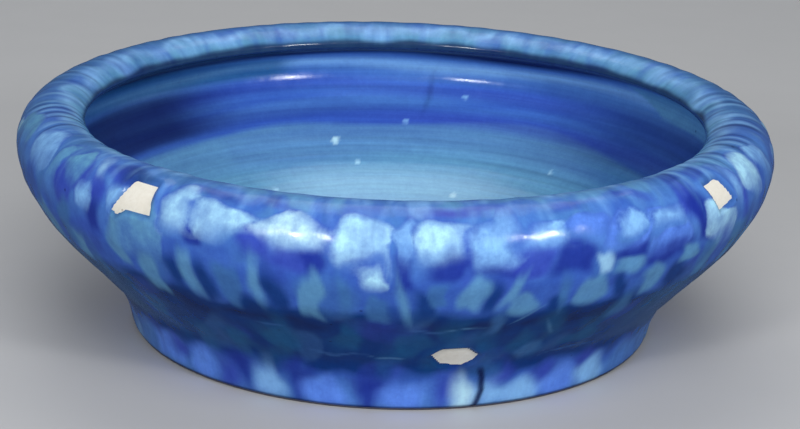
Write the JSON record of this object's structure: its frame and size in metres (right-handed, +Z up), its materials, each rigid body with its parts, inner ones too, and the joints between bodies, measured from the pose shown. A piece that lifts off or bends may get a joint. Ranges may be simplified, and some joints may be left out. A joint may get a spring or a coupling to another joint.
{
  "type": "bowl",
  "caption": "Low, wide, wheel-thrown bowl with a rolled in-turned rim, a flared wall, a turned foot ring and a mottled blue glaze, to stand on a table and hold fruit, bulbs or flowers.",
  "frame": {"origin": "centre of the bowl's axis at the level it stands on", "axes": "+Z up along the bowl's axis, -Y towards the front with the low bare spot"},
  "size_m": [0.254, 0.254, 0.0764],
  "materials": {
    "clay": "matte fired stoneware, cream, bare at the foot ring, the underside and three spots",
    "outer_glaze": "satin gloss glaze, sponged light blue over cobalt and violet blue",
    "inner_glaze": "satin gloss glaze, brushed in horizontal bands of cobalt, teal and pale blue"
  },
  "bodies": {
    "root": {"clay_body": "clay", "outer_glaze": "outer_glaze", "inner_glaze": "inner_glaze"}
  },
  "joints": []
}
